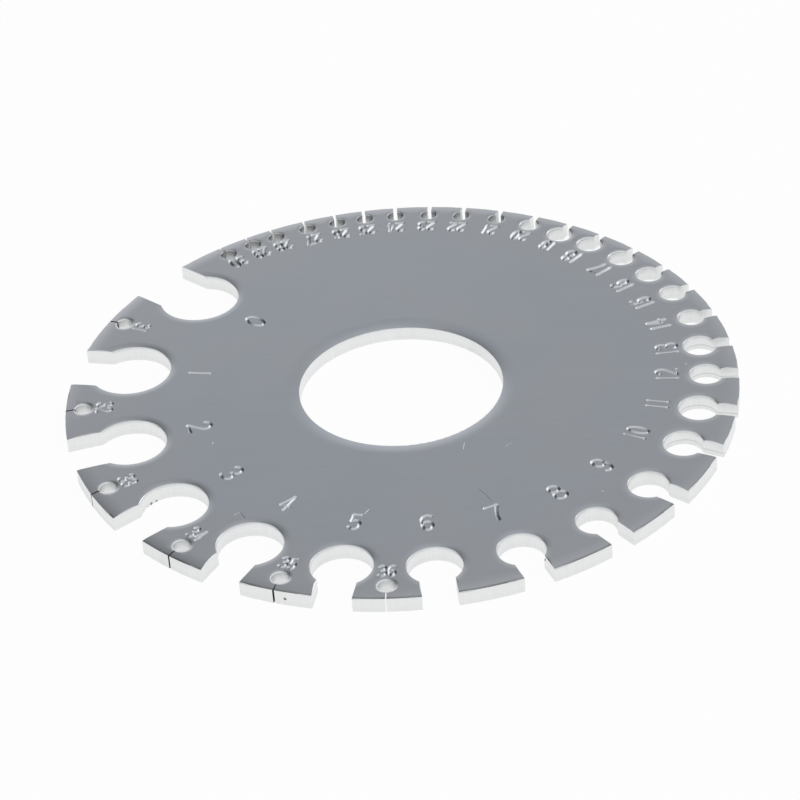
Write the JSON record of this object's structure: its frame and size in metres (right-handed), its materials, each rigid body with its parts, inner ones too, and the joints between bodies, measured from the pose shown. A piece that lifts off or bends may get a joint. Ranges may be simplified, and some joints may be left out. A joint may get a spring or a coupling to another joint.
{
  "type": "wire gauge plate",
  "caption": "Flat round steel plate with a large centre hole and graded slots round its rim, each ending in a round relief hole, for finding the size of wire.",
  "frame": {"origin": "centre of the centre hole, on the flat back face", "axes": "+Z along the centre hole's axis, out of the numbered face; seen from above, gauge 0 lies 137.5 degrees counter-clockwise from +X and the numbers rise counter-clockwise"},
  "size_m": [0.0826, 0.0826, 0.002],
  "materials": {
    "plate_metal": "satin plated"
  },
  "bodies": {
    "root": {"gauge_plate": "plate_metal"}
  },
  "joints": []
}
